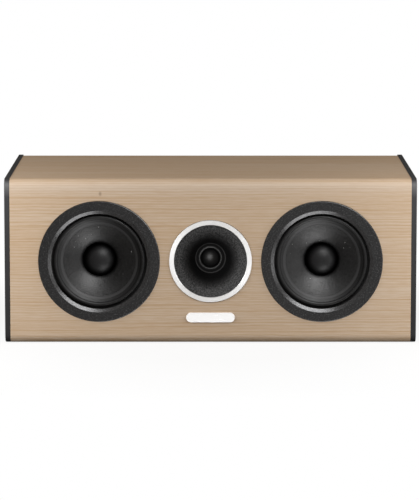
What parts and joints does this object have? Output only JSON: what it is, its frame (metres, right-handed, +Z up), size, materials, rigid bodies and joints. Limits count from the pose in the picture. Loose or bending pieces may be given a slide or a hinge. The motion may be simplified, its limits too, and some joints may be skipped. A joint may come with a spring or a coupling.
{
  "type": "center channel speaker",
  "caption": "Wide low loudspeaker in a veneered cabinet with black ends: woofers in trim rings beside a horn-loaded dome tweeter, rear reflex port and plug terminals.",
  "frame": {"origin": "middle of the footprint on the shelf, at the underside of the cabinet", "axes": "+X to the viewer's right along the width, -Y out of the front, +Z up"},
  "size_m": [0.55, 0.332, 0.2212],
  "materials": {
    "veneer": "fine straight-grained veneer, satin",
    "black_panel": "black satin lacquer",
    "raw_board": "bare pressed board",
    "wadding": "loose polyester wadding",
    "speckled_black": "fine speckled black",
    "surround_rubber": "soft satin rubber",
    "cone_paper": "coated black pulp",
    "dust_cap": "soft black",
    "spider_cloth": "pressed resin cloth",
    "cast_frame": "black painted casting",
    "bare_aluminium": "bare sheet",
    "copper_wire": "enamelled copper wire",
    "plated_steel": "zinc plated",
    "ferrite": "fired ferrite",
    "lead_sleeve": "soft insulation",
    "silver_ring": "turned and fine brushed",
    "horn_black": "fine textured black",
    "dome_cloth": "coated soft cloth",
    "badge_metal": "fine brushed",
    "port_plastic": "fine textured black",
    "cup_plastic": "moulded black",
    "gilt_metal": "gold plated",
    "red_grip": "red moulded",
    "black_grip": "black moulded",
    "circuit_board": "coated laminate",
    "spacer_plastic": "natural moulded",
    "capacitor_film": "wound film in a sleeve",
    "resistor_clay": "cast cement"
  },
  "bodies": {
    "cabinet": {"badge_plate": "badge_metal", "bass_coil": "copper_wire", "black_stud": "gilt_metal", "board_standoffs": "spacer_plastic", "cabinet_shell": "veneer", "capacitors": "capacitor_film", "crossover_board": "circuit_board", "cup_screws": "plated_steel", "input_leads": "lead_sleeve", "left_basket": "cast_frame", "left_brace": "raw_board", "left_end_panel": "black_panel", "left_magnet": "ferrite", "left_spider": "spider_cloth", "left_surround": "surround_rubber", "left_top_plate": "plated_steel", "left_trim_ring": "speckled_black", "left_wadding": "wadding", "left_woofer_lead": "lead_sleeve", "left_yoke": "plated_steel", "port_tube": "port_plastic", "rear_panel": "black_panel", "red_stud": "gilt_metal", "resistors": "resistor_clay", "right_basket": "cast_frame", "right_brace": "raw_board", "right_end_panel": "black_panel", "right_magnet": "ferrite", "right_spider": "spider_cloth", "right_surround": "surround_rubber", "right_top_plate": "plated_steel", "right_trim_ring": "speckled_black", "right_wadding": "wadding", "right_woofer_lead": "lead_sleeve", "right_yoke": "plated_steel", "stud_nuts": "gilt_metal", "terminal_cup": "cup_plastic", "treble_coil": "copper_wire", "tweeter_coil": "copper_wire", "tweeter_dome": "dome_cloth", "tweeter_horn": "horn_black", "tweeter_lead": "lead_sleeve", "tweeter_magnet": "ferrite", "tweeter_ring": "silver_ring", "tweeter_screws": "plated_steel", "tweeter_top_plate": "plated_steel", "tweeter_yoke": "plated_steel", "woofer_screws": "plated_steel"},
    "left_cone_assembly": {"left_cone": "cone_paper", "left_dust_cap": "dust_cap", "left_coil_former": "bare_aluminium", "left_coil_winding": "copper_wire"},
    "right_cone_assembly": {"right_cone": "cone_paper", "right_dust_cap": "dust_cap", "right_coil_former": "bare_aluminium", "right_coil_winding": "copper_wire"},
    "red_clamp_cap": {"red_cap": "red_grip"},
    "black_clamp_cap": {"black_cap": "black_grip"}
  },
  "joints": [
    {"name": "left_cone_travel", "type": "slide", "parent": "cabinet", "child": "left_cone_assembly", "axis": [0, -1, 0], "range_m": [-0.004, 0.004], "stiffness_N_per_m": 900, "deforming": ["left_surround", "left_spider"]},
    {"name": "right_cone_travel", "type": "slide", "parent": "cabinet", "child": "right_cone_assembly", "axis": [0, -1, 0], "range_m": [-0.004, 0.004], "stiffness_N_per_m": 900, "deforming": ["right_surround", "right_spider"]},
    {"name": "red_cap_turn", "type": "hinge", "parent": "cabinet", "child": "red_clamp_cap", "pos_m": [-0.0095, 0.1416, 0.0605], "axis": [0, 1, 0], "range_deg": [0, 1080]},
    {"name": "black_cap_turn", "type": "hinge", "parent": "cabinet", "child": "black_clamp_cap", "pos_m": [0.0095, 0.1416, 0.0605], "axis": [0, 1, 0], "range_deg": [0, 1080]}
  ]
}
